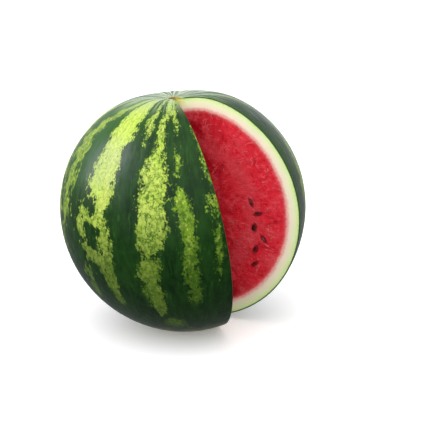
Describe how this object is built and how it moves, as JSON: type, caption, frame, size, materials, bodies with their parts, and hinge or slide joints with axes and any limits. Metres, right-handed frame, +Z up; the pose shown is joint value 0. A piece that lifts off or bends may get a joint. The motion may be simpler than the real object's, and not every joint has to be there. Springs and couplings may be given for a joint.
{
  "type": "watermelon with a wedge cut out",
  "caption": "Whole round striped watermelon with a wedge cut out from stem to base, which shows red flesh, pale rind and dark seeds; it rests on a small flat spot.",
  "frame": {"origin": "middle of the flat spot that the melon rests on", "axes": "+Z up towards the stem end, -Y to the front, +X to the right; the notch opens to the front right"},
  "size_m": [0.25, 0.25, 0.2404],
  "materials": {
    "fruit": "waxy green skin with pale stripes, white rind and wet red flesh",
    "seed": "smooth dark brown seed coat"
  },
  "bodies": {
    "root": {"watermelon": "fruit", "seed_left_1": "seed", "seed_left_2": "seed", "seed_left_3": "seed", "seed_left_4": "seed", "seed_left_5": "seed", "seed_left_6": "seed", "seed_left_7": "seed", "seed_left_8": "seed", "seed_right_1": "seed", "seed_right_2": "seed", "seed_right_3": "seed", "seed_right_4": "seed", "seed_right_5": "seed", "seed_right_6": "seed"}
  },
  "joints": []
}
